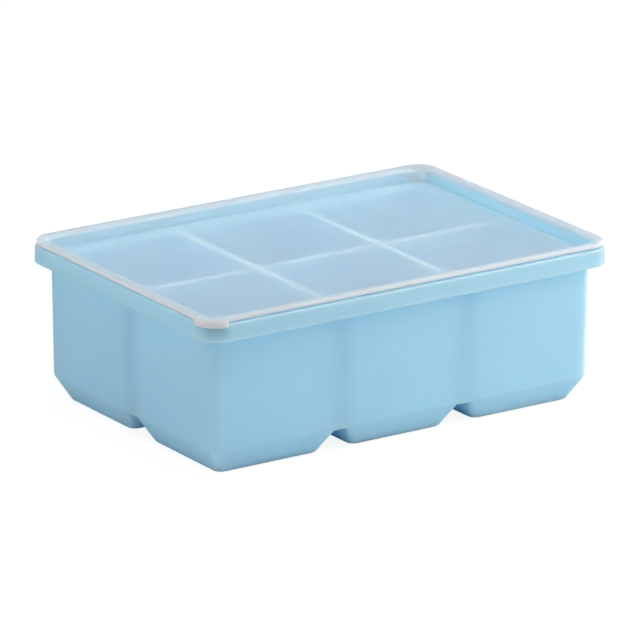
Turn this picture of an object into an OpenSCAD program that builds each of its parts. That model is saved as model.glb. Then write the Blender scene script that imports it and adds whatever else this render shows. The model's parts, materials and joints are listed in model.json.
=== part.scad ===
// Silicone ice cube tray with a frosted lid, for six large cubes.
// The origin is under the middle of the tray, on the surface that it stands on.
// +X runs along the long side, +Y across, and +Z points up.

/* [Cups] */
// Cups along the long side
cups_long = 3; // [2:1:5]
// Cups across the short side
cups_wide = 2; // [1:1:4]
// Side of a square cavity at its mouth
cup_w = 49; // [35:0.5:65]
// Depth of a cavity, from its mouth to its floor
cup_depth = 49.4; // [35:0.2:65]
// Corner radius of a cavity above its slope
cup_r = 4; // [3:0.5:7]
// Corner radius of a cavity at its floor
cup_low_r = 3; // [2:0.5:6]
// Rounding of a cavity's mouth
mouth_round = 0.5; // [0.2:0.1:1]
// Thickness of a partition at its top
partition = 2.5; // [2:0.1:5]
// Width that the slope at the foot of a cavity takes on each side
cup_slope_w = 6.2; // [3:0.2:8]
// Height of the slope at the foot of a cavity
cup_slope_h = 12; // [8:0.5:20]
// Rounding between a cavity's slope and its floor
cup_floor_round = 3; // [1:0.5:5]

/* [Walls and feet] */
// Thickness of an outer wall at its top
wall = 3; // [2:0.1:5]
// Thickness of the floor under a cavity
floor_t = 3; // [2:0.1:5]
// Draft of the walls and cavities, in degrees
draft = 0.8; // [0.3:0.1:1.5]
// Corner radius of the outer walls, under the rim
wall_r = 3; // [2.5:0.1:6]
// Height at which the walls start to slope in to the feet
foot_h = 9; // [6:0.5:12]
// Width that this slope takes on each side of a foot
foot_slope_w = 4.6; // [3:0.1:6]
// Rounding between the wall and the slope
crease_r = 3; // [1:0.5:4]
// Width of the flat roof of the notch between two feet
notch_roof_w = 4.8; // [3:0.2:8]
// Corner radius of a foot, at its bottom
foot_r = 3; // [2:0.5:6]
// Rounding of the edge that a foot stands on
foot_round = 1.2; // [0.6:0.1:2.5]

/* [Rim] */
// How far the rim stands out from the wall
rim_out = 6; // [4:0.5:10]
// Thickness of the ledge that the lid's panel lies over
ledge_t = 1.8; // [1.2:0.1:4]
// Height of the rim above the ledge
rim_rise = 4.6; // [3:0.1:8]
// Thickness of the rim at its top
rim_t = 2.7; // [1.8:0.1:3.5]
// Lean of the rim's outer face, in degrees
rim_lean = 3; // [0:0.5:6]
// Draft of the rim's inner face and the lid's wall, in degrees
seat_draft = 2; // [0.5:0.5:5]
// Rounding of the rim's edges
rim_round = 0.7; // [0.3:0.1:0.9]
// Rounding in the corner between the ledge and the rim
ledge_round = 1; // [0.5:0.1:1.5]

/* [Lid] */
// Gap between the lid and the tray
fit_gap = 0.2; // [0.05:0.05:0.5]
// Thickness of the lid's flat band
band_t = 2; // [1.2:0.1:3.5]
// Thickness of the lid's upright wall
lid_wall = 1.5; // [1:0.1:2]
// Thickness of the lid's sunk panel
panel_t = 1.2; // [0.8:0.1:2.5]
// How far the band stops short of the rim's edge on the long sides
band_short_y = 1.3; // [0.5:0.1:1.8]
// How far the band stops short of the rim's edge at the ends
band_short_x = 0.4; // [0.3:0.1:1.8]
// Rounding of the band's outer edges
band_round = 0.5; // [0.2:0.1:0.6]
// Rounding from the band down into the lid's recess
mouth_r = 1.8; // [0.8:0.1:2]
// Rounding between the recess wall and the panel
panel_r = 1.5; // [0.5:0.1:2.5]

/* [Pull tab] */
// Thickness of the tab's lip, outside the rim
lip_t = 0.9; // [0.6:0.1:2]
// How far the lip hangs below the rim's top
lip_drop = 0.9; // [0.4:0.1:2.5]
// Part of the corner's quarter turn that the tab covers, in degrees
tab_turn = 76; // [40:1:84]
// Rounding of the tab's edges
tab_round = 0.4; // [0.1:0.1:0.5]

/* [Hidden] */

TRAY_COLOUR = [0.59, 0.77, 0.86];
LID_COLOUR = [0.85, 0.89, 0.91, 0.6];
// Degrees between two points of a rounding, and between two of a cup's corners
ARC_STEP = 18;
CORNER_STEP = 15;
// How far a cut or a buried end runs past the face that it crosses
PAST = 1;
// Hair's breadth that keeps a foot's flat-sided corners inside the wall's round ones
HAIR = 0.03;
$fn = 96;

// Heights
ledge_z = floor_t + cup_depth;
flange_z = ledge_z - ledge_t;
rim_z = ledge_z + rim_rise;
band_z = rim_z + fit_gap;
lid_z = band_z + band_t;
panel_z = ledge_z + fit_gap;
panel_top_z = panel_z + panel_t;

// The line through the corner centres, which the walls, the rim and the lid share
pitch = cup_w + partition;
core_l = cups_long * cup_w + (cups_long - 1) * partition + 2 * wall - 2 * wall_r;
core_w = cups_wide * cup_w + (cups_wide - 1) * partition + 2 * wall - 2 * wall_r;

// Distances out from that line
rim_r = wall_r + rim_out;
rim_top_r = rim_r - (rim_z - flange_z) * tan(rim_lean);
seat_top_r = rim_top_r - rim_t;
seat_low_r = seat_top_r - rim_rise * tan(seat_draft);
wall_low_r = wall_r - (flange_z - foot_h) * tan(draft);
tub_low_r = seat_low_r - fit_gap;

// The slope at the feet, and the roof of the notches where its crease ends
foot_angle = atan(foot_slope_w / foot_h);
crease_run = crease_r * tan((foot_angle - draft) / 2);
notch_z = foot_h - crease_run * cos(foot_angle);
foot_top_in = (foot_h - notch_z) * tan(foot_angle);
foot_top_r = wall_low_r - foot_top_in;

// Points of the rounding at b, between the straight lines from a and to c
function rounding(a, b, c, r) =
    let (
        u = (a - b) / norm(a - b),
        v = (c - b) / norm(c - b),
        half = acos(u * v) / 2,
        start = b + u * r / tan(half),
        end = b + v * r / tan(half),
        centre = b + (u + v) / norm(u + v) * r / sin(half),
        from = atan2(start.y - centre.y, start.x - centre.x),
        to = atan2(end.y - centre.y, end.x - centre.x),
        turn = (to - from + 540) % 360 - 180,
        steps = max(1, ceil(abs(turn) / ARC_STEP))
    )
    [for (i = [0:steps]) centre + r * [cos(from + turn * i / steps), sin(from + turn * i / steps)]];

// An outline through [x, y, radius] corners, each rounded by its own radius
function outline(corners) =
    let (n = len(corners), at = [for (c = corners) [c.x, c.y]])
    [for (i = [0:n - 1])
        each corners[i].z == 0 ? [at[i]]
            : rounding(at[(i + n - 1) % n], at[i], at[(i + 1) % n], corners[i].z)];

// The points of a rounded rectangle at height z. box is [x0, y0, x1, y1], and radii
// run anticlockwise from the corner at x1, y1.
function rectangle_ring(box, radii, z) =
    let (
        xs = [box[2], box[0], box[0], box[2]],
        ys = [box[3], box[3], box[1], box[1]],
        sx = [-1, 1, 1, -1],
        sy = [-1, -1, 1, 1],
        steps = 90 / CORNER_STEP
    )
    [for (k = [0:3], i = [0:steps])
        let (a = 90 * k + CORNER_STEP * i, r = radii[k])
        [xs[k] + sx[k] * r + r * cos(a), ys[k] + sy[k] * r + r * sin(a), z]];

// A solid skinned over rings that all have the same number of points, lowest first
module skin(rings) {
    n = len(rings[0]);
    last = len(rings) - 1;
    points = [for (ring = rings) each ring];
    sides = [for (k = [0:last - 1], i = [0:n - 1])
        let (a = k * n + i, b = k * n + (i + 1) % n)
        each [[a + n, b, a], [a + n, b + n, b]]];
    bottom = [for (i = [0:n - 1]) i];
    top = [for (i = [n - 1:-1:0]) last * n + i];
    polyhedron(points, concat([bottom], sides, [top]));
}

// A section swept around a rectangle of corner centres, and filled to the middle
// between the heights low and high
module swept(section, low, high, l = core_l, w = core_w) {
    for (k = [0:3]) {
        turned = k % 2 == 1;
        run = turned ? l : w;
        away = turned ? w : l;
        rotate([0, 0, 90 * k])
            translate([away / 2, run / 2, 0]) {
                rotate_extrude(angle = 90)
                    polygon(section);
                rotate([90, 0, 0])
                    linear_extrude(run)
                        polygon(section);
            }
    }
    translate([-l / 2, -w / 2, low])
        cube([l, w, high - low]);
}

// Places its children in each cup, with $column and $row set
module each_cup() {
    for ($column = [0:cups_long - 1], $row = [0:cups_wide - 1])
        translate([($column - (cups_long - 1) / 2) * pitch, ($row - (cups_wide - 1) / 2) * pitch, 0])
            children();
}

// The walls, the rim and the ledge, with the underside flat at the notches' roof
module shell() {
    section = outline([
        [0, notch_z, 0],
        [foot_top_r, notch_z, 0],
        [wall_low_r, foot_h, crease_r],
        [wall_r, flange_z, rim_round],
        [rim_r, flange_z, rim_round],
        [rim_top_r, rim_z, rim_round],
        [seat_top_r, rim_z, rim_round],
        [seat_low_r, ledge_z, ledge_round],
        [0, ledge_z, 0]
    ]);
    swept(section, notch_z, ledge_z);
}

// The sloping foot under one cup. A side at the edge of the tray follows the outer
// wall, and a side next to another cup follows the notch.
module foot(column, row) {
    wall_half = cup_w / 2 + wall - wall_r + foot_top_r - HAIR;
    notch_half = (pitch - notch_roof_w) / 2;
    at_edge = [column == 0, row == 0, column == cups_long - 1, row == cups_wide - 1];
    reach = [for (edge = at_edge) edge ? wall_half : notch_half];
    outward = [-1, -1, 1, 1];
    top_radii = [for (sides = [[2, 3], [0, 3], [0, 1], [2, 1]])
        at_edge[sides[0]] && at_edge[sides[1]] ? foot_top_r - HAIR : foot_round];
    low_in = notch_z * tan(foot_angle);
    steps = concat(
        rounding([-2 * low_in, 0], [-low_in, 0], [0, notch_z], foot_round),
        [[0, notch_z], [-PAST, notch_z + PAST]]
    );
    skin([for (p = steps)
        let (up = min(1, p.y / notch_z))
        rectangle_ring(
            [for (k = [0:3]) outward[k] * (reach[k] + p.x)],
            [for (r = top_radii) foot_r + (r - foot_r) * up],
            p.y
        )]);
}

// The space that one cube fills: drafted sides, a slope all round and a flat floor
module cavity() {
    half = cup_w / 2;
    slope_z = floor_t + cup_slope_h;
    slope_half = half - (ledge_z - slope_z) * tan(draft);
    floor_half = slope_half - cup_slope_w;
    mouth = rounding([slope_half, slope_z], [half, ledge_z], [half + PAST, ledge_z], mouth_round);
    steps = concat(
        rounding([0, floor_t], [floor_half, floor_t], [slope_half, slope_z], cup_floor_round),
        rounding([floor_half, floor_t], [slope_half, slope_z], [half, ledge_z], cup_floor_round),
        mouth,
        [[mouth[len(mouth) - 1].x, ledge_z + PAST]]
    );
    skin([for (p = steps)
        let (r = cup_r - (cup_r - cup_low_r) * max(0, slope_z - p.y) / cup_slope_h)
        rectangle_ring([-p.x, -p.x, p.x, p.x], [r, r, r, r], p.y)]);
}

module tray() {
    color(TRAY_COLOUR)
        difference() {
            union() {
                shell();
                each_cup() foot($column, $row);
            }
            each_cup() cavity();
        }
}

// The flat band that covers the rim
module band() {
    corner_r = rim_top_r - max(band_short_x, band_short_y);
    swept(
        outline([
            [0, band_z, 0],
            [corner_r, band_z, band_round],
            [corner_r, lid_z, band_round],
            [0, lid_z, 0]
        ]),
        band_z,
        lid_z,
        core_l + 2 * (rim_top_r - band_short_x - corner_r),
        core_w + 2 * (rim_top_r - band_short_y - corner_r)
    );
}

// The tub that drops inside the rim, still solid
module tub() {
    top = band_z + band_t / 2;
    section = outline([
        [0, panel_z, 0],
        [tub_low_r, panel_z, ledge_round],
        [tub_low_r + (top - panel_z) * tan(seat_draft), top, 0],
        [0, top, 0]
    ]);
    swept(section, panel_z, top);
}

// The space over the panel, which opens out at the top with a wide rounding
module recess() {
    low_r = tub_low_r - lid_wall;
    top_r = low_r + (lid_z - panel_top_z) * tan(seat_draft);
    mouth = rounding([low_r, panel_top_z], [top_r, lid_z], [rim_r, lid_z], mouth_r);
    section = concat(
        [[0, panel_top_z]],
        rounding([0, panel_top_z], [low_r, panel_top_z], [top_r, lid_z], panel_r),
        mouth,
        [[mouth[len(mouth) - 1].x, lid_z + PAST], [0, lid_z + PAST]]
    );
    swept(section, panel_top_z, lid_z + PAST);
}

// The lip at one corner that a finger lifts the lid by
module pull_tab() {
    lip_z = rim_z - lip_drop;
    in_r = rim_top_r + lip_drop * tan(rim_lean) + fit_gap;
    root_r = rim_top_r - 2 * band_short_y;
    section = outline([
        [root_r, band_z, 0],
        [in_r, band_z, 0],
        [in_r, lip_z, 0],
        [in_r + lip_t, lip_z, tab_round],
        [in_r + lip_t, lid_z, tab_round],
        [root_r, lid_z, 0]
    ]);
    translate([-core_l / 2, -core_w / 2, 0])
        rotate([0, 0, 225 - tab_turn / 2])
            rotate_extrude(angle = tab_turn)
                polygon(section);
}

module lid() {
    color(LID_COLOUR)
        difference() {
            union() {
                band();
                tub();
                pull_tab();
            }
            recess();
        }
}

tray();
lid();
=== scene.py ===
"""Looks of the covered silicone ice cube tray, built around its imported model.

Lengths are in metres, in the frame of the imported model: +X along the tray's long side, +Y across
it, +Z up, and the origin under its middle on the surface that it stands on.
"""

import json
import math

import bpy
from bpy.props import FloatProperty, FloatVectorProperty, PointerProperty
from mathutils import Matrix, Vector

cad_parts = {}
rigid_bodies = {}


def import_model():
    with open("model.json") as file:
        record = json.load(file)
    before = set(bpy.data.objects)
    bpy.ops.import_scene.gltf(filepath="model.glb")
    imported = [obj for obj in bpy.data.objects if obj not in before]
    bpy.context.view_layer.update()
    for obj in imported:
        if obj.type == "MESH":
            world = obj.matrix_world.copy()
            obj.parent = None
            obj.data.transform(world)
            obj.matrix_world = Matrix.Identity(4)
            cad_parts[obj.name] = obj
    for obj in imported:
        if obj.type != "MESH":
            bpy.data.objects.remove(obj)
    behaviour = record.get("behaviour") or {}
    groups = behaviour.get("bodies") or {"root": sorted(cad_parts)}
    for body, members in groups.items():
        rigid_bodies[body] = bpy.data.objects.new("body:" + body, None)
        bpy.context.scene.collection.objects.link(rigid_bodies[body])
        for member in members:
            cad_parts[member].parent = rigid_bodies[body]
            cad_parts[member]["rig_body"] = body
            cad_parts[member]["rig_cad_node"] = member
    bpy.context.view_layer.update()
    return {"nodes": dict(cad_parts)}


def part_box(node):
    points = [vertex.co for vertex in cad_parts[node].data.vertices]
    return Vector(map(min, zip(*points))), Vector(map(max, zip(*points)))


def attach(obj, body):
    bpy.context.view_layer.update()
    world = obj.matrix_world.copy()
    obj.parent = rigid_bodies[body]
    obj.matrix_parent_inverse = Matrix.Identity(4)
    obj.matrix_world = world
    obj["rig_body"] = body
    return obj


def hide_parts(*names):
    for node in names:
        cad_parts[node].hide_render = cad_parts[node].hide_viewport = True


bl_info = {
    "name": "Covered Ice Cube Tray",
    "version": (1, 0, 0),
    "blender": (4, 5, 0),
    "location": "View3D > Sidebar > Ice Tray",
    "description": "Finishes a moulded silicone tray and its frosted lid, and sets them in a studio",
    "category": "Object",
}

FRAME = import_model()
MM = 0.001

# The lid's thin panel lies at its bottom. The upright wall runs on from the panel to the band at
# the top, and each finish fades into the next over the rounding between them
LID_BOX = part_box("lid")
LID_BOTTOM = LID_BOX[0].z
LID_TOP = LID_BOX[1].z
PANEL_TOP = LID_BOTTOM + 1.2 * MM
PANEL_FADE = 0.6 * MM
BAND_FADE = 2.0 * MM
# The painted light on the band's outer face fades in over this height below the top
EDGE_LIGHT_FADE = 0.8 * MM

# The haze of lying on the tray is on the panel's underside alone, and fades in from this height
UNDERSIDE_START = PANEL_TOP - 0.4 * MM
UNDERSIDE_FADE = 0.4 * MM

# Half the band's length and width, the radius of its corners and the width of its outer part
BAND_X = LID_BOX[1].x
BAND_Y = LID_BOX[1].y
BAND_CORNER = 10.0 * MM
BAND_OUTER = 1.6 * MM
OUTER_SOFT = 0.4 * MM

# The underside of the tray's rim, and where the rim's painted shade starts and is full
FLANGE = PANEL_TOP - 3.2 * MM
RIM_SHADE_START = FLANGE - 1.5 * MM
RIM_SHADE_FULL = FLANGE + 0.5 * MM

# Under the panel stand the partitions, with tops of this width, and the ledge begins at these
# edges. The panel lies less closely on the wide ledge, by this share
CUP_PITCH = 51.5 * MM
PARTITION_TOP = 1.8 * MM
PARTITION_SOFT = 0.3 * MM
LEDGE_X = 76.0 * MM
LEDGE_Y = 50.25 * MM
LEDGE_SOFT = 0.4 * MM
LEDGE_CONTACT = 0.3

# Where a partition meets an outer wall, painted shade stands for the light that the thicker silicone
# there holds back. It reaches this far to either side, with this share of the rim's painted shade.
# It starts and is full this far into the wall's thickness
PARTITION_SHADE_REACH = 7.0 * MM
PARTITION_SHADE_SHARE = 0.7
PARTITION_SHADE_START = 0.5 * MM
PARTITION_SHADE_FULL = 1.5 * MM

# The grain and the height of each bump, first the mould's slow waves and then its satin finish
TRAY_BUMPS = ((26 * MM, 0.06 * MM), (0.35 * MM, 0.002 * MM))
LID_BUMPS = ((30 * MM, 0.03 * MM), (0.4 * MM, 0.001 * MM))

# The grain of the mottling, and how far the colour drifts in it
TRAY_MOTTLE = (18 * MM, 0.015)
LID_MOTTLE = (22 * MM, 0.012)

# How strongly silicone bends light. What shows through the thin panel is hardly shifted, so the
# lid has a lower value
TRAY_IOR = 1.41
LID_IOR = 1.15

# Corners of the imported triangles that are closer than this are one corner, corners of a level
# face differ by less than the next value, and faces that meet at less than this angle are smooth
MERGE_DISTANCE = 0.002 * MM
LEVEL_TOLERANCE = 0.01 * MM
SMOOTH_ANGLE = math.radians(32)

# The floor's white as the tray sees it, and to the camera the shadow's share and the glow
FLOOR_SIZE = 12.0
FLOOR_DROP = 0.05 * MM
FLOOR_WHITE = 0.85
FLOOR_SHADE = 0.22
FLOOR_GLOW = 0.88

# Each soft lamp's azimuth, turned from -Y towards +X, and elevation in degrees, its distance
# from the tray and its size
LAMPS = {
    "top": (0.0, 88.0, 1.6, 1.6),
    "right": (56.0, 27.0, 0.62, 0.5),
    "left": (-85.0, 25.0, 1.2, 0.9),
    "back": (205.0, 35.0, 1.2, 0.9),
}

# The photograph's frame is square, and a camera's sensor is this wide
FRAME_PIXELS = 640
SENSOR_WIDTH = 36.0


class TraySettings(bpy.types.PropertyGroup):
    colour: FloatVectorProperty(
        name="Colour",
        description="Colour of the tray's silicone",
        subtype="COLOR",
        size=3,
        min=0.0,
        max=1.0,
        default=(0.42, 0.69, 0.85),
    )
    # Painted shade: the rim, and the outer walls where partitions meet them, are painted this much
    # darker for the shade that falls there
    painted_shade_depth: FloatProperty(
        name="Rim Depth",
        description="How much deeper the colour shows in the rim than in the walls",
        subtype="FACTOR",
        min=0.0,
        max=0.5,
        default=0.08,
    )
    roughness: FloatProperty(
        name="Roughness",
        description="How much the moulded satin surface blurs what it reflects",
        subtype="FACTOR",
        min=0.0,
        max=1.0,
        default=0.42,
    )
    glow_depth: FloatProperty(
        name="Glow Depth",
        description="How far light travels inside the silicone",
        subtype="DISTANCE",
        unit="LENGTH",
        min=0.0001,
        max=0.02,
        default=10.0 * MM,
    )


class LidSettings(bpy.types.PropertyGroup):
    # The haze's own colour is nearly white. Its blue tint is painted light from the tray under the
    # lid
    colour: FloatVectorProperty(
        name="Colour",
        description="Colour of the lid's frosted silicone",
        subtype="COLOR",
        size=3,
        min=0.0,
        max=1.0,
        default=(0.80, 0.94, 1.0),
    )
    # The band's own greyer tone, darkened further by painted shade on its top
    band_tone_and_shade: FloatVectorProperty(
        name="Band Colour",
        description="Colour of the thicker band, which holds back more light",
        subtype="COLOR",
        size=3,
        min=0.0,
        max=1.0,
        default=(0.69, 0.77, 0.83),
    )
    contact_colour: FloatVectorProperty(
        name="Contact Colour",
        description="Colour of the panel's haze where it lies on the ledge and the partitions",
        subtype="COLOR",
        size=3,
        min=0.0,
        max=1.0,
        default=(0.76, 0.80, 0.77),
    )
    # Painted light: the band's outer face is painted near white for the light that comes out of it
    painted_edge_light: FloatVectorProperty(
        name="Edge Colour",
        description="Colour of the band's outer face, where light from above comes out again",
        subtype="COLOR",
        size=3,
        min=0.0,
        max=1.0,
        default=(0.95, 0.96, 0.97),
    )
    panel_settle: FloatProperty(
        name="Panel Settle",
        description="How far the soft panel settles towards the ledge and the partitions under it",
        subtype="DISTANCE",
        unit="LENGTH",
        min=0.0,
        default=0.17 * MM,
    )
    panel_veil: FloatProperty(
        name="Panel Veil",
        description="Part of the panel's surface that scatters or bends light. The rest is open",
        subtype="FACTOR",
        min=0.0,
        max=1.0,
        default=0.8,
    )
    wall_veil: FloatProperty(
        name="Wall Veil",
        description="The same part of the upright wall",
        subtype="FACTOR",
        min=0.0,
        max=1.0,
        default=0.5,
    )
    band_veil: FloatProperty(
        name="Band Veil",
        description="The same part of the band",
        subtype="FACTOR",
        min=0.0,
        max=1.0,
        default=1.0,
    )
    panel_clearness: FloatProperty(
        name="Panel Clearness",
        description="Part of the veil's light that passes the panel unscattered by its haze",
        subtype="FACTOR",
        min=0.0,
        max=1.0,
        default=0.7,
    )
    wall_clearness: FloatProperty(
        name="Wall Clearness",
        description="The same part in the upright wall",
        subtype="FACTOR",
        min=0.0,
        max=1.0,
        default=0.7,
    )
    band_clearness: FloatProperty(
        name="Band Clearness",
        description="The same part in the band",
        subtype="FACTOR",
        min=0.0,
        max=1.0,
        default=0.4,
    )
    contact_haze: FloatProperty(
        name="Contact Haze",
        description="Part of its clearness that the panel loses where it lies on the tray",
        subtype="FACTOR",
        min=0.0,
        max=1.0,
        default=0.75,
    )
    panel_roughness: FloatProperty(
        name="Panel Roughness",
        description="How much the panel blurs what shows through it",
        subtype="FACTOR",
        min=0.0,
        max=1.0,
        default=0.65,
    )
    band_roughness: FloatProperty(
        name="Band Roughness",
        description="How much the wall and the band blur what shows through them",
        subtype="FACTOR",
        min=0.0,
        max=1.0,
        default=0.4,
    )
    glow_depth: FloatProperty(
        name="Glow Depth",
        description="How far light travels inside the lid's silicone",
        subtype="DISTANCE",
        unit="LENGTH",
        min=0.0001,
        max=0.01,
        default=3.0 * MM,
    )


class StageSettings(bpy.types.PropertyGroup):
    azimuth: FloatProperty(
        name="Azimuth",
        description="Direction that the camera looks in, turned from +Y towards +X",
        subtype="ANGLE",
        unit="ROTATION",
        default=math.radians(33.905),
    )
    elevation: FloatProperty(
        name="Elevation",
        description="How steeply the camera looks down",
        subtype="ANGLE",
        unit="ROTATION",
        default=math.radians(17.912),
    )
    roll: FloatProperty(
        name="Roll",
        description="Turn of the camera about the direction that it looks in",
        subtype="ANGLE",
        unit="ROTATION",
        default=math.radians(0.269),
    )
    distance: FloatProperty(
        name="Distance",
        description="Distance from the camera to the point that it looks at",
        subtype="DISTANCE",
        unit="LENGTH",
        min=0.5,
        default=2.4692,
    )
    target: FloatVectorProperty(
        name="Target",
        description="The point that the camera looks at",
        subtype="TRANSLATION",
        unit="LENGTH",
        size=3,
        default=(7.25 * MM, 10.50 * MM, 25.0 * MM),
    )
    focal_pixels: FloatProperty(
        name="Focal Length in Pixels",
        description="Focal length of the camera, in pixels of the photograph's frame",
        min=100.0,
        default=6983.0,
    )
    sky_level: FloatProperty(
        name="Sky Level",
        description="Brightness of a white surface under the even white surroundings alone",
        min=0.0,
        default=0.08,
    )
    top_level: FloatProperty(
        name="Top Level",
        description="Brightness of a white surface that faces the top lamp, under that lamp alone",
        min=0.0,
        default=0.52,
    )
    right_level: FloatProperty(
        name="Right Level",
        description="Brightness of a white surface that faces the right lamp, under it alone",
        min=0.0,
        default=0.75,
    )
    left_level: FloatProperty(
        name="Left Level",
        description="Brightness of a white surface that faces the left lamp, under it alone",
        min=0.0,
        default=0.25,
    )
    back_level: FloatProperty(
        name="Back Level",
        description="Brightness of a white surface that faces the back lamp, under it alone",
        min=0.0,
        default=0.1,
    )


# Node trees


def node(tree, kind, values=None, **settings):
    """Adds a shader node, with its own settings and the values of its sockets by name."""
    made = tree.nodes.new(kind)
    for name, value in settings.items():
        setattr(made, name, value)
    for name, value in (values or {}).items():
        made.inputs[name].default_value = value
    return made


def empty_tree(owner):
    """The node tree of a material or a world, with nothing in it."""
    owner.use_nodes = True
    owner.node_tree.nodes.clear()
    return owner.node_tree


def output(tree, shader, kind="ShaderNodeOutputMaterial"):
    """Links a shader to the output of its material or world."""
    tree.links.new(shader, node(tree, kind).inputs["Surface"])


def colour4(colour):
    return (*colour, 1.0)


def grey(level):
    return (level, level, level, 1.0)


def math_node(tree, operation, *values):
    """The result of one sum, whose values are numbers or sockets."""
    made = node(tree, "ShaderNodeMath", operation=operation)
    for socket, value in zip(made.inputs, values):
        if isinstance(value, bpy.types.NodeSocket):
            tree.links.new(value, socket)
        else:
            socket.default_value = value
    return made.outputs["Value"]


def soft_step(tree, value, start, end):
    """0 before start and 1 past end, or the other way round, with a soft change between."""
    step = node(
        tree,
        "ShaderNodeMapRange",
        {"From Min": start, "From Max": end},
        interpolation_type="SMOOTHSTEP",
    )
    tree.links.new(value, step.inputs["Value"])
    return step.outputs["Result"]


def past_edge(tree, value, edge, soft):
    """0 before the edge and 1 past it, changing over this softness to either side."""
    return soft_step(tree, value, edge - soft, edge + soft)


def plan(tree):
    """The place on a piece, its distances from the two upright middle planes, and its height."""
    place = node(tree, "ShaderNodeTexCoord").outputs["Object"]
    split = node(tree, "ShaderNodeSeparateXYZ")
    tree.links.new(place, split.inputs["Vector"])
    along = math_node(tree, "ABSOLUTE", split.outputs["X"])
    across = math_node(tree, "ABSOLUTE", split.outputs["Y"])
    return place, along, across, split.outputs["Z"]


def turned(tree, colour, share, other):
    """A colour that turns to the other one by this share."""
    mix = node(tree, "ShaderNodeMix", {"B": colour4(other)}, data_type="RGBA")
    tree.links.new(share, mix.inputs["Factor"])
    tree.links.new(colour, mix.inputs["A"])
    return mix.outputs["Result"]


def mottled(tree, place, colour, mottle):
    """A colour that drifts a little lighter and darker over the surface."""
    grain, change = mottle
    noise = node(tree, "ShaderNodeTexNoise", {"Scale": 1 / grain, "Detail": 3.0, "Roughness": 0.55})
    tree.links.new(place, noise.inputs["Vector"])
    ramp = node(tree, "ShaderNodeValToRGB")
    ramp.color_ramp.elements[0].position = 0.3
    ramp.color_ramp.elements[1].position = 0.7
    ramp.color_ramp.elements[0].color = colour4([c * (1 - change) for c in colour])
    ramp.color_ramp.elements[1].color = colour4([min(1, c * (1 + change)) for c in colour])
    tree.links.new(noise.outputs["Fac"], ramp.inputs["Fac"])
    return ramp.outputs["Color"]


def moulded_bump(tree, place, bumps):
    """The normal of a surface with bumps of each grain and height in turn."""
    normal = None
    for grain, height in bumps:
        noise = node(
            tree,
            "ShaderNodeTexNoise",
            {"Scale": 1 / grain, "Detail": 2.0, "Roughness": 0.5},
        )
        tree.links.new(place, noise.inputs["Vector"])
        bump = node(tree, "ShaderNodeBump", {"Strength": 1.0, "Distance": height})
        tree.links.new(noise.outputs["Fac"], bump.inputs["Height"])
        if normal is not None:
            tree.links.new(normal, bump.inputs["Normal"])
        normal = bump.outputs["Normal"]
    return normal


def silicone(tree, ior, glow_depth):
    """A shader whose light travels a little way inside, evenly in all colours."""
    return node(
        tree,
        "ShaderNodeBsdfPrincipled",
        {
            "IOR": ior,
            "Subsurface Weight": 1.0,
            "Subsurface Radius": (1.0, 1.0, 1.0),
            "Subsurface Scale": glow_depth,
        },
        subsurface_method="RANDOM_WALK",
    )


# Parts of the tray and the lid, as shares from 0 to 1


def beside_partition(tree, along):
    """Distance from the middle of the nearer of the two short partitions."""
    return math_node(tree, "ABSOLUTE", math_node(tree, "SUBTRACT", along, CUP_PITCH / 2))


def painted_partition_shade(tree, along, across):
    """The painted shade on the outside of a wall where a partition meets it."""
    near_short = soft_step(tree, beside_partition(tree, along), PARTITION_SHADE_REACH, 0.0)
    near_long = soft_step(tree, across, PARTITION_SHADE_REACH, 0.0)
    side_wall = soft_step(tree, across, LEDGE_Y + PARTITION_SHADE_START, LEDGE_Y + PARTITION_SHADE_FULL)
    end_wall = soft_step(tree, along, LEDGE_X + PARTITION_SHADE_START, LEDGE_X + PARTITION_SHADE_FULL)
    on_side = math_node(tree, "MULTIPLY", near_short, side_wall)
    on_end = math_node(tree, "MULTIPLY", near_long, end_wall)
    return math_node(tree, "MAXIMUM", on_side, on_end)


def contact(tree, along, across):
    """All of each partition's top, less of the wide ledge, and nothing over the cups."""
    nearest = math_node(tree, "MINIMUM", beside_partition(tree, along), across)
    half = PARTITION_TOP / 2
    tops = soft_step(tree, nearest, half + PARTITION_SOFT, half - PARTITION_SOFT)
    end_ledge = past_edge(tree, along, LEDGE_X, LEDGE_SOFT)
    side_ledge = past_edge(tree, across, LEDGE_Y, LEDGE_SOFT)
    ledge = math_node(tree, "MAXIMUM", end_ledge, side_ledge)
    ledge = math_node(tree, "MULTIPLY", ledge, LEDGE_CONTACT)
    return math_node(tree, "MAXIMUM", tops, ledge)


def outer_part(tree, along, across):
    """The outer part of the band, all round its rounded rectangle."""
    past_x = math_node(tree, "SUBTRACT", along, BAND_X - BAND_CORNER)
    past_y = math_node(tree, "SUBTRACT", across, BAND_Y - BAND_CORNER)
    past_x = math_node(tree, "MAXIMUM", past_x, 0.0)
    past_y = math_node(tree, "MAXIMUM", past_y, 0.0)
    squares = math_node(tree, "MULTIPLY", past_x, past_x)
    squares = math_node(tree, "MULTIPLY_ADD", past_y, past_y, squares)
    reach = math_node(tree, "SQRT", squares)
    return past_edge(tree, reach, BAND_CORNER - BAND_OUTER, OUTER_SOFT)


def lid_parts(tree, along, across, height):
    """The lid's upright wall, its band, the band's outer face, which gets painted light, and the
    underside that lies.
    """
    upright = soft_step(tree, height, PANEL_TOP, PANEL_TOP + PANEL_FADE)
    level_part = soft_step(tree, height, LID_TOP - BAND_FADE, LID_TOP)
    outer = outer_part(tree, along, across)
    banded = math_node(tree, "MAXIMUM", level_part, outer)
    # The outer face below the band's top, where the painted light goes
    under_top = soft_step(tree, height, LID_TOP, LID_TOP - EDGE_LIGHT_FADE)
    edge = math_node(tree, "MULTIPLY", outer, under_top)
    underside = soft_step(tree, height, UNDERSIDE_START, UNDERSIDE_START - UNDERSIDE_FADE)
    lying = math_node(tree, "MULTIPLY", underside, contact(tree, along, across))
    return upright, banded, edge, lying


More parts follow.
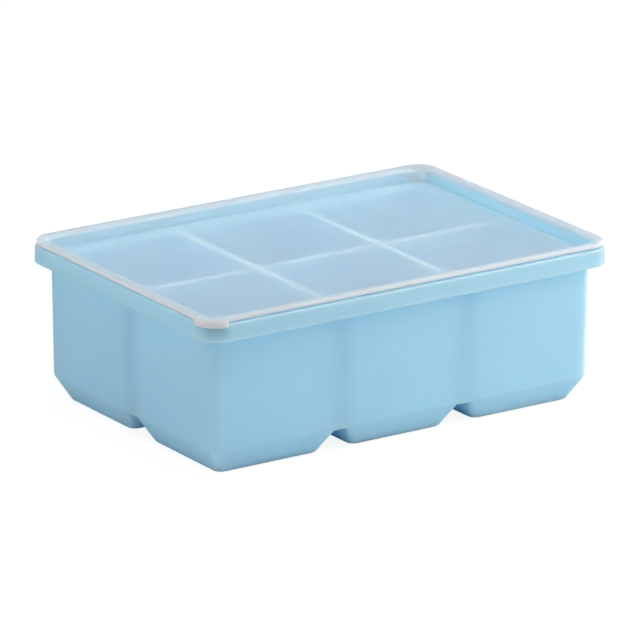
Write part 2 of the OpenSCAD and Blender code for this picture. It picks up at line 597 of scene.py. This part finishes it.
def zoned(tree, upright, banded, panel, wall, band):
    """A number that goes from the panel's value to the wall's, and from there to the band's."""
    below = math_node(tree, "MULTIPLY_ADD", upright, wall - panel, panel)
    rest = math_node(tree, "SUBTRACT", band, below)
    return math_node(tree, "MULTIPLY_ADD", banded, rest, below)


# Materials


def tray_silicone(settings):
    """Light blue silicone, satin from its mould, with light glowing a little way into it, and
    painted shade on its rim and where partitions meet its outer walls.
    """
    material = bpy.data.materials.new("tray_silicone")
    tree = empty_tree(material)
    place, along, across, height = plan(tree)
    # Painted shade: the rim and the outsides of the walls where partitions meet them are darkened
    rim_shaded = soft_step(tree, height, RIM_SHADE_START, RIM_SHADE_FULL)
    # Painted shade where the partitions meet the outer walls
    partition_shade = math_node(tree, "MULTIPLY", painted_partition_shade(tree, along, across), PARTITION_SHADE_SHARE)
    painted_shade = math_node(tree, "MAXIMUM", rim_shaded, partition_shade)
    shaded_colour = [c * (1 - settings.painted_shade_depth) for c in settings.colour]
    colour = mottled(tree, place, settings.colour, TRAY_MOTTLE)
    colour = turned(tree, colour, painted_shade, shaded_colour)
    shader = silicone(tree, TRAY_IOR, settings.glow_depth)
    shader.inputs["Roughness"].default_value = settings.roughness
    tree.links.new(colour, shader.inputs["Base Color"])
    tree.links.new(moulded_bump(tree, place, TRAY_BUMPS), shader.inputs["Normal"])
    output(tree, shader.outputs["BSDF"])
    return material


def lid_silicone(settings):
    """Frosted silicone, nearly colourless, with its haze tinted blue as painted light from the tray:
    part haze, part blurred view of what lies under it.
    """
    material = bpy.data.materials.new("lid_silicone")
    tree = empty_tree(material)
    place, along, across, height = plan(tree)
    upright, banded, edge, lying = lid_parts(tree, along, across, height)
    # The blue in the lid's colour is painted light from the tray under it
    colour = mottled(tree, place, settings.colour, LID_MOTTLE)
    colour = turned(tree, colour, lying, settings.contact_colour)
    # The band's colour holds its own greyer tone and painted shade on its top
    colour = turned(tree, colour, banded, settings.band_tone_and_shade)
    # Painted light on the band's outer face
    colour = turned(tree, colour, edge, settings.painted_edge_light)
    clear = zoned(
        tree,
        upright,
        banded,
        settings.panel_clearness,
        settings.wall_clearness,
        settings.band_clearness,
    )
    hazed = math_node(tree, "MULTIPLY", lying, settings.contact_haze)
    for covered in (hazed, edge):
        clear = math_node(tree, "MULTIPLY", clear, math_node(tree, "SUBTRACT", 1.0, covered))
    rough = zoned(
        tree,
        upright,
        banded,
        settings.panel_roughness,
        settings.band_roughness,
        settings.band_roughness,
    )
    veil = zoned(
        tree,
        upright,
        banded,
        settings.panel_veil,
        settings.wall_veil,
        settings.band_veil,
    )
    shader = silicone(tree, LID_IOR, settings.glow_depth)
    tree.links.new(colour, shader.inputs["Base Color"])
    tree.links.new(clear, shader.inputs["Transmission Weight"])
    tree.links.new(rough, shader.inputs["Roughness"])
    tree.links.new(veil, shader.inputs["Alpha"])
    tree.links.new(moulded_bump(tree, place, LID_BUMPS), shader.inputs["Normal"])
    output(tree, shader.outputs["BSDF"])
    return material


def studio_floor():
    """A white floor. To the camera it is evenly white, and keeps a faint shadow under the tray."""
    material = bpy.data.materials.new("studio_floor")
    tree = empty_tree(material)
    path = node(tree, "ShaderNodeLightPath")
    paper = node(tree, "ShaderNodeBsdfDiffuse", {"Color": grey(FLOOR_WHITE)})
    shade = node(tree, "ShaderNodeBsdfDiffuse", {"Color": grey(FLOOR_SHADE)})
    glow = node(tree, "ShaderNodeEmission", {"Color": grey(1.0), "Strength": FLOOR_GLOW})
    seen = node(tree, "ShaderNodeAddShader")
    tree.links.new(shade.outputs["BSDF"], seen.inputs[0])
    tree.links.new(glow.outputs["Emission"], seen.inputs[1])
    choice = node(tree, "ShaderNodeMixShader")
    tree.links.new(path.outputs["Is Camera Ray"], choice.inputs["Fac"])
    tree.links.new(paper.outputs["BSDF"], choice.inputs[1])
    tree.links.new(seen.outputs["Shader"], choice.inputs[2])
    output(tree, choice.outputs["Shader"])
    return material


def studio_world(level):
    """Even white surroundings, which the camera, reflections and clear things see as plain white."""
    world = bpy.data.worlds.new("studio")
    tree = empty_tree(world)
    path = node(tree, "ShaderNodeLightPath").outputs
    shown = math_node(tree, "MAXIMUM", path["Is Camera Ray"], path["Is Glossy Ray"])
    shown = math_node(tree, "MAXIMUM", shown, path["Is Transmission Ray"])
    light = node(tree, "ShaderNodeBackground", {"Color": grey(1.0), "Strength": level})
    backdrop = node(tree, "ShaderNodeBackground", {"Color": grey(1.0), "Strength": 1.0})
    choice = node(tree, "ShaderNodeMixShader")
    tree.links.new(shown, choice.inputs["Fac"])
    tree.links.new(light.outputs["Background"], choice.inputs[1])
    tree.links.new(backdrop.outputs["Background"], choice.inputs[2])
    output(tree, choice.outputs["Shader"], "ShaderNodeOutputWorld")
    return world


# Meshes


def only(obj):
    """Selects this object alone and makes it the active one."""
    bpy.ops.object.select_all(action="DESELECT")
    obj.select_set(True)
    bpy.context.view_layer.objects.active = obj


def finished_copy(node_name, piece_name):
    """A copy of a CAD node with its triangles joined and its roundings shaded smooth."""
    only(FRAME["nodes"][node_name])
    bpy.ops.object.duplicate()
    piece = bpy.context.object
    piece.name = piece_name
    piece.data.name = piece_name
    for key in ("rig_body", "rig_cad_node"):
        del piece[key]
    piece.parent = None
    only(piece)
    bpy.ops.object.mode_set(mode="EDIT")
    bpy.ops.mesh.select_all(action="SELECT")
    bpy.ops.mesh.remove_doubles(threshold=MERGE_DISTANCE)
    bpy.ops.mesh.customdata_custom_splitnormals_clear()
    bpy.ops.object.mode_set(mode="OBJECT")
    bpy.ops.object.shade_smooth_by_angle(angle=SMOOTH_ANGLE)
    weighted = piece.modifiers.new("weighted_normals", "WEIGHTED_NORMAL")
    weighted.keep_sharp = True
    bpy.ops.object.modifier_apply(modifier=weighted.name)
    return piece


def seat_panel(piece, settle):
    """Lets the soft panel lie on the ledge and the partitions, with a hair's breadth between."""
    for vertex in piece.data.vertices:
        if vertex.co.z < LID_BOTTOM + LEVEL_TOLERANCE:
            vertex.co.z -= settle


def dress(piece, material):
    piece.data.materials.clear()
    piece.data.materials.append(material)


class ICETRAY_OT_add_tray(bpy.types.Operator):
    """Finish the moulded tray"""

    bl_idname = "icetray.add_tray"
    bl_label = "Add Tray"

    def execute(self, context):
        piece = finished_copy("tray", "moulded_tray")
        dress(piece, tray_silicone(context.scene.icetray_tray))
        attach(piece, "root")
        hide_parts("tray")
        return {"FINISHED"}


class ICETRAY_OT_add_lid(bpy.types.Operator):
    """Finish the frosted lid"""

    bl_idname = "icetray.add_lid"
    bl_label = "Add Lid"

    def execute(self, context):
        settings = context.scene.icetray_lid
        piece = finished_copy("lid", "frosted_lid")
        seat_panel(piece, settings.panel_settle)
        dress(piece, lid_silicone(settings))
        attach(piece, "root")
        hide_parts("lid")
        return {"FINISHED"}


# Stage


def lamp(name, azimuth, elevation, distance, size, level):
    """A square soft lamp that faces the tray and lights a white surface to this level."""
    away = Vector((
        math.sin(azimuth) * math.cos(elevation),
        -math.cos(azimuth) * math.cos(elevation),
        math.sin(elevation),
    ))
    data = bpy.data.lights.new(name, "AREA")
    data.shape = "SQUARE"
    data.size = size
    data.energy = level * math.pi**2 * distance**2
    made = bpy.data.objects.new(name, data)
    made.location = away * distance
    made.rotation_euler = away.to_track_quat("Z", "Y").to_euler()
    bpy.context.scene.collection.objects.link(made)


def photo_camera(settings):
    """The camera that took the photograph, as worked out from the lines of the tray."""
    forward = Vector((
        math.sin(settings.azimuth) * math.cos(settings.elevation),
        math.cos(settings.azimuth) * math.cos(settings.elevation),
        -math.sin(settings.elevation),
    ))
    data = bpy.data.cameras.new("photo_camera")
    data.sensor_width = SENSOR_WIDTH
    data.lens = settings.focal_pixels / FRAME_PIXELS * SENSOR_WIDTH
    made = bpy.data.objects.new("photo_camera", data)
    turn = forward.to_track_quat("-Z", "Y").to_matrix().to_4x4()
    eye = Vector(settings.target) - forward * settings.distance
    made.matrix_world = Matrix.Translation(eye) @ turn @ Matrix.Rotation(settings.roll, 4, "Z")
    bpy.context.scene.collection.objects.link(made)
    bpy.context.scene.camera = made


class ICETRAY_OT_add_stage(bpy.types.Operator):
    """Add the floor, the lamps, the white surroundings and the camera"""

    bl_idname = "icetray.add_stage"
    bl_label = "Add Stage"

    def execute(self, context):
        settings = context.scene.icetray_stage
        bpy.ops.object.select_all(action="DESELECT")
        bpy.ops.mesh.primitive_plane_add(size=FLOOR_SIZE, location=(0.0, 0.0, -FLOOR_DROP))
        floor = context.object
        floor.name = "floor"
        dress(floor, studio_floor())
        context.scene.world = studio_world(settings.sky_level)
        for name, (azimuth, elevation, distance, size) in LAMPS.items():
            level = getattr(settings, name + "_level")
            turn = math.radians(azimuth)
            lift = math.radians(elevation)
            lamp(name + "_lamp", turn, lift, distance, size, level)
        photo_camera(settings)
        context.scene.view_settings.view_transform = "Standard"
        # Pale silicone passes light on many times before it fades
        context.scene.cycles.max_bounces = 24
        context.scene.cycles.diffuse_bounces = 16
        context.scene.cycles.transmission_bounces = 16
        return {"FINISHED"}


class ICETRAY_PT_sidebar(bpy.types.Panel):
    bl_label = "Ice Cube Tray"
    bl_idname = "ICETRAY_PT_sidebar"
    bl_space_type = "VIEW_3D"
    bl_region_type = "UI"
    bl_category = "Ice Tray"

    def draw(self, context):
        scene = context.scene
        for settings, operator in (
            (scene.icetray_tray, ICETRAY_OT_add_tray),
            (scene.icetray_lid, ICETRAY_OT_add_lid),
            (scene.icetray_stage, ICETRAY_OT_add_stage),
        ):
            box = self.layout.box()
            for name in settings.__annotations__:
                box.prop(settings, name)
            box.operator(operator.bl_idname)


CLASSES = (
    TraySettings,
    LidSettings,
    StageSettings,
    ICETRAY_OT_add_tray,
    ICETRAY_OT_add_lid,
    ICETRAY_OT_add_stage,
    ICETRAY_PT_sidebar,
)


def register():
    for each in CLASSES:
        bpy.utils.register_class(each)
    bpy.types.Scene.icetray_tray = PointerProperty(type=TraySettings)
    bpy.types.Scene.icetray_lid = PointerProperty(type=LidSettings)
    bpy.types.Scene.icetray_stage = PointerProperty(type=StageSettings)


def unregister():
    del bpy.types.Scene.icetray_stage
    del bpy.types.Scene.icetray_lid
    del bpy.types.Scene.icetray_tray
    for each in reversed(CLASSES):
        bpy.utils.unregister_class(each)


def main():
    register()
    bpy.ops.icetray.add_tray()
    bpy.ops.icetray.add_lid()
    bpy.ops.icetray.add_stage()


if __name__ == "__main__":
    main()
